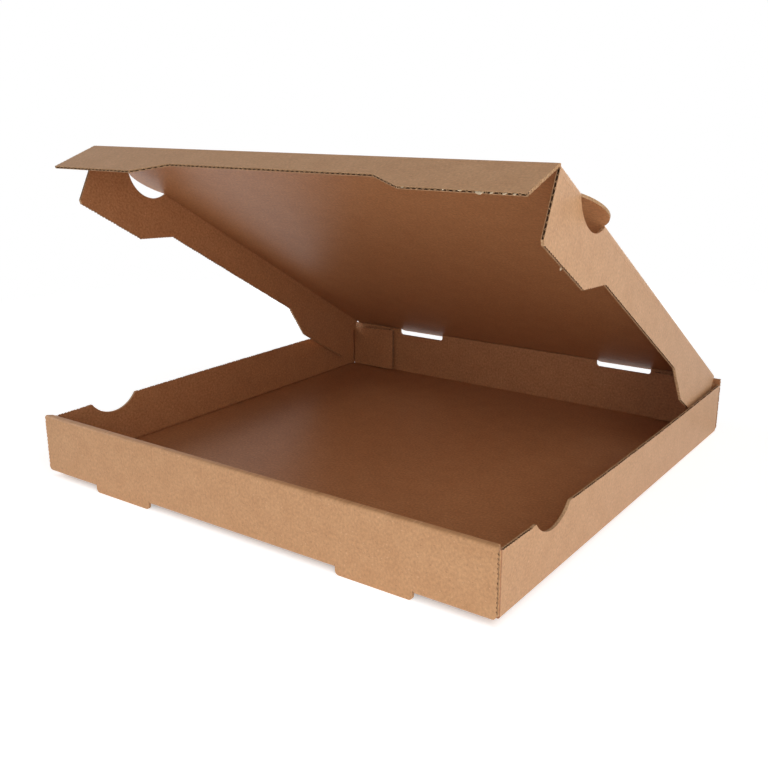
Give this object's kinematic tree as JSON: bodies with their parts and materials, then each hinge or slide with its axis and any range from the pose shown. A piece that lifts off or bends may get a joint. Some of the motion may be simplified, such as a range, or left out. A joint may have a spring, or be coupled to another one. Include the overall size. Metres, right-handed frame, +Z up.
{
  "type": "pizza box",
  "caption": "Square folded corrugated kraft pizza box with a tuck-in hinged lid, side vents and a rolled front wall.",
  "frame": {"origin": "middle of the floor's underside", "axes": "+X to the right seen from the front, +Y to the rear where the lid is hinged, +Z up"},
  "size_m": [0.3362, 0.3335, 0.2078],
  "materials": {
    "kraft_board": "uncoated kraft liner"
  },
  "bodies": {
    "tray": {"tray": "kraft_board"},
    "lid": {"lid": "kraft_board"},
    "front_flap": {"front_flap": "kraft_board"},
    "left_flap": {"left_flap": "kraft_board"},
    "right_flap": {"right_flap": "kraft_board"}
  },
  "joints": [
    {"name": "lid_fold", "type": "hinge", "parent": "tray", "child": "lid", "pos_m": [0, 0.1642, 0.0402], "axis": [-1, 0, 0], "range_deg": [-29, 149.5]},
    {"name": "front_flap_fold", "type": "hinge", "parent": "lid", "child": "front_flap", "pos_m": [0, -0.1122, 0.20301], "axis": [1, 0, 0], "range_deg": [-50.4, 39.4]},
    {"name": "left_flap_fold", "type": "hinge", "parent": "lid", "child": "left_flap", "pos_m": [-0.1591, 0.16379, 0.03951], "axis": [0, -0.8616, 0.5075], "range_deg": [-8.3, 75]},
    {"name": "right_flap_fold", "type": "hinge", "parent": "lid", "child": "right_flap", "pos_m": [0.1591, 0.16379, 0.03951], "axis": [0, 0.8616, -0.5075], "range_deg": [0, 83]}
  ]
}
